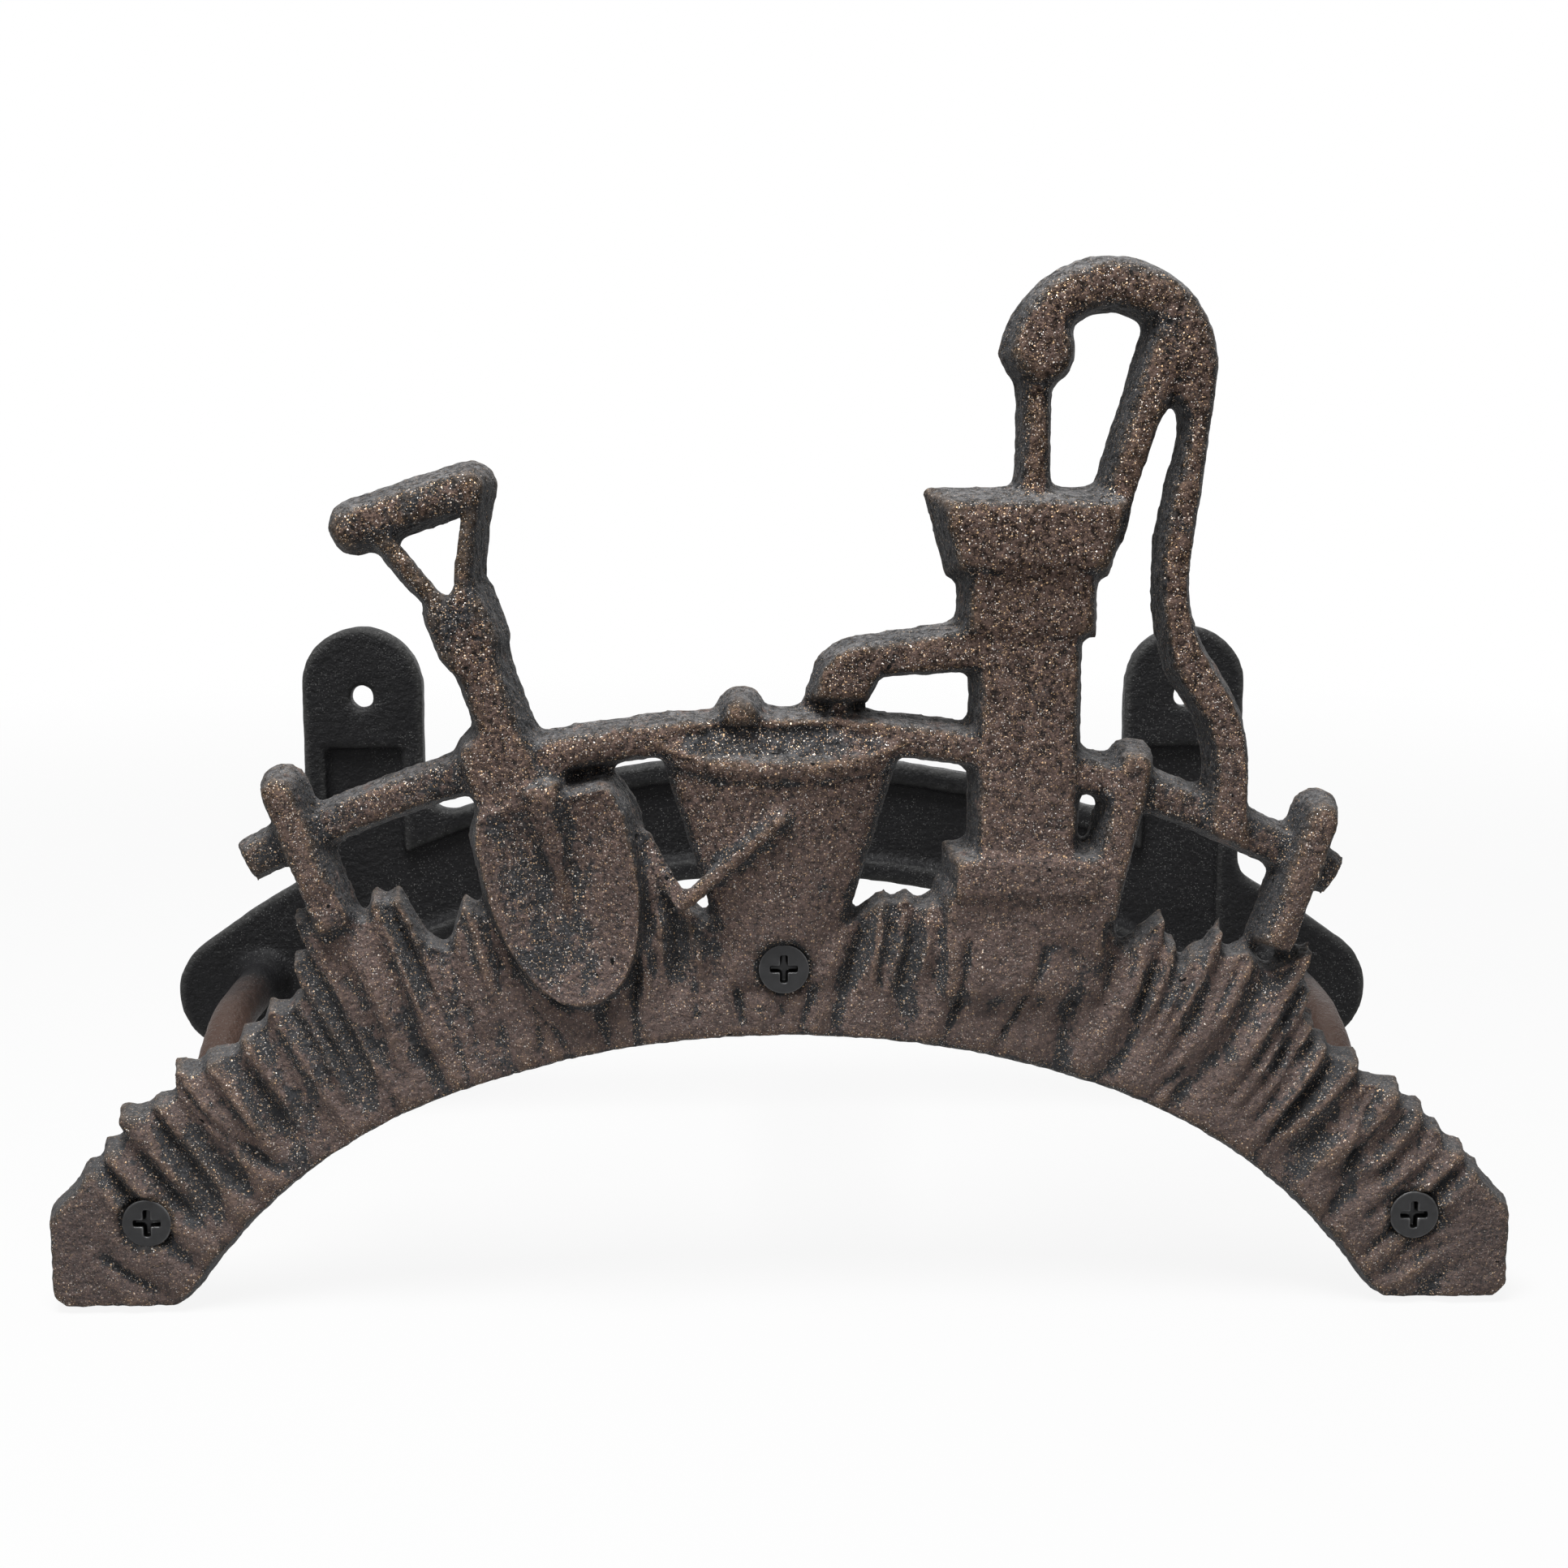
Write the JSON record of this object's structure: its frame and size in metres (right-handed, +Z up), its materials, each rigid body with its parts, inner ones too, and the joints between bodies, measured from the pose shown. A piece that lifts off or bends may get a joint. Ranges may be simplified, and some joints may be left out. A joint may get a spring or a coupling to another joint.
{
  "type": "hose hanger",
  "caption": "Cast-iron wall hose hanger: an arched bracket with forward arms carries a front plate cast as grass, fence, spade, bucket and hand pump.",
  "frame": {"origin": "midway between the two wall-screw holes, on the wall face of the bracket", "axes": "+X to the right seen from the front, +Z up the wall, +Y into the wall, so the front faces -Y"},
  "size_m": [0.334, 0.1443, 0.2339],
  "materials": {
    "bronzed_iron": "black sand-cast iron, rubbed with brown on the raised faces, with fine bright specks",
    "black_iron": "black sand-cast iron with a fine grain",
    "black_steel": "satin black screw steel"
  },
  "bodies": {
    "root": {"front_plate": "bronzed_iron", "wall_bracket": "black_iron", "plate_screws": "black_steel"}
  },
  "joints": []
}
